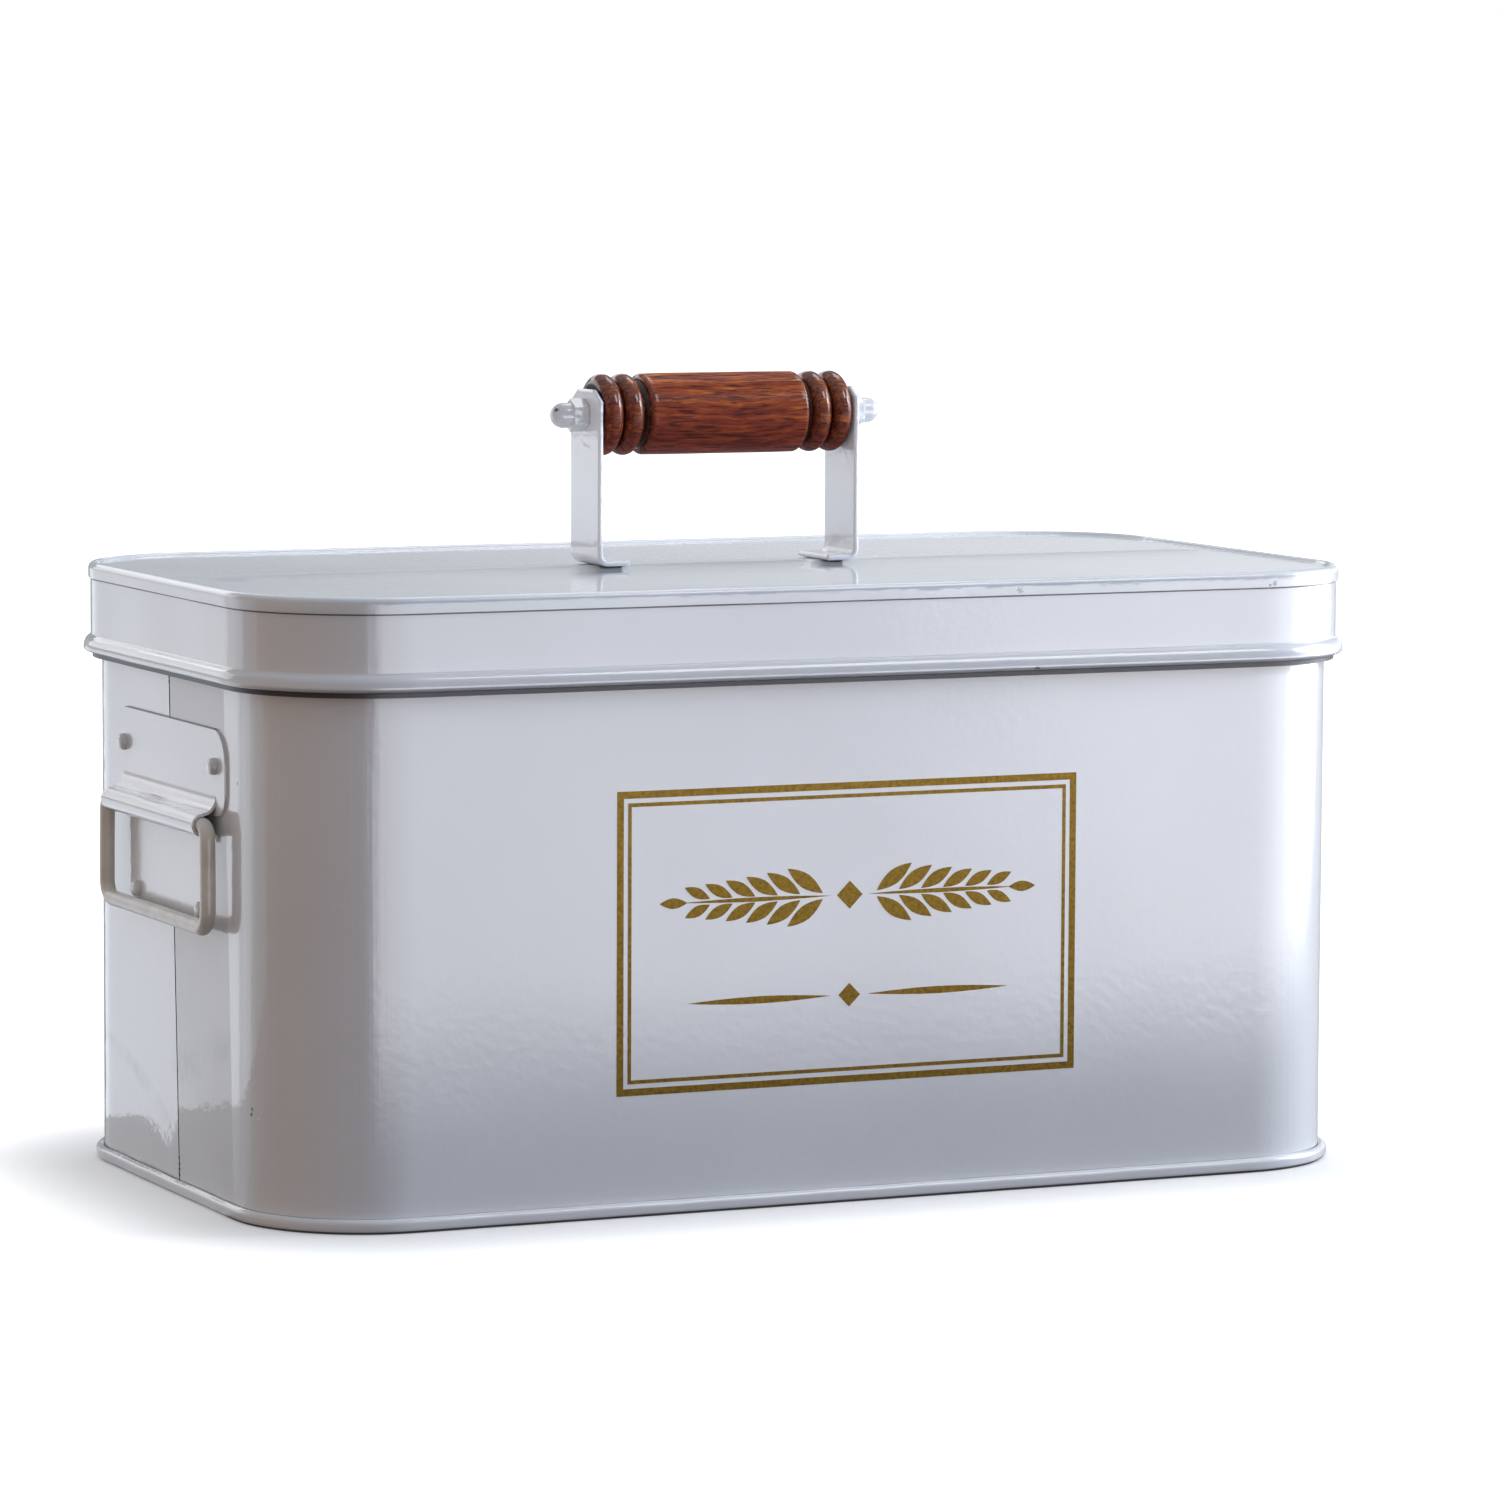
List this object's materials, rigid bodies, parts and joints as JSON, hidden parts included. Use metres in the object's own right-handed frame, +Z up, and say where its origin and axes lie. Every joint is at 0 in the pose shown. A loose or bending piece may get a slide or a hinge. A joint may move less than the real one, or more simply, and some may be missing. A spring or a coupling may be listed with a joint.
{
  "type": "lidded laundry powder tin",
  "caption": "Rounded rectangular painted steel tin for laundry powder, with a lift-off lid, a turned wooden lid grip and a wire drop bail on each end.",
  "frame": {"origin": "middle of the base, on the surface that the tin stands on", "axes": "+X along the length, toward the right end; +Y toward the back; +Z up"},
  "size_m": [0.3352, 0.1838, 0.2192],
  "materials": {
    "white_enamel": "gloss",
    "bail_paint": "satin",
    "varnished_wood": "gloss varnish",
    "steel_rod": "plain",
    "gold_print": "printed gold"
  },
  "bodies": {
    "tin": {"body_wall": "white_enamel", "base_pan": "white_enamel", "left_bail_plate": "white_enamel", "right_bail_plate": "white_enamel", "left_rivets": "white_enamel", "right_rivets": "white_enamel"},
    "lid": {"lid_top": "white_enamel", "lid_skirt": "white_enamel", "left_strap": "white_enamel", "right_strap": "white_enamel", "grip_rod": "steel_rod", "left_cap_nut": "white_enamel", "right_cap_nut": "white_enamel"},
    "grip": {"wood_grip": "varnished_wood"},
    "left_bail": {"left_bail": "bail_paint"},
    "right_bail": {"right_bail": "bail_paint"}
  },
  "joints": [
    {"name": "lid_lift", "type": "slide", "parent": "tin", "child": "lid", "axis": [0, 0, 1], "range_m": [0, 0.2]},
    {"name": "grip_spin", "type": "hinge", "parent": "lid", "child": "grip", "pos_m": [0, 0, 0.208], "axis": [1, 0, 0], "continuous": true},
    {"name": "left_bail_swing", "type": "hinge", "parent": "tin", "child": "left_bail", "pos_m": [-0.1645, 0, 0.1034], "axis": [0, 1, 0], "range_deg": [0, 140]},
    {"name": "right_bail_swing", "type": "hinge", "parent": "tin", "child": "right_bail", "pos_m": [0.1645, 0, 0.1034], "axis": [0, -1, 0], "range_deg": [0, 140]}
  ]
}
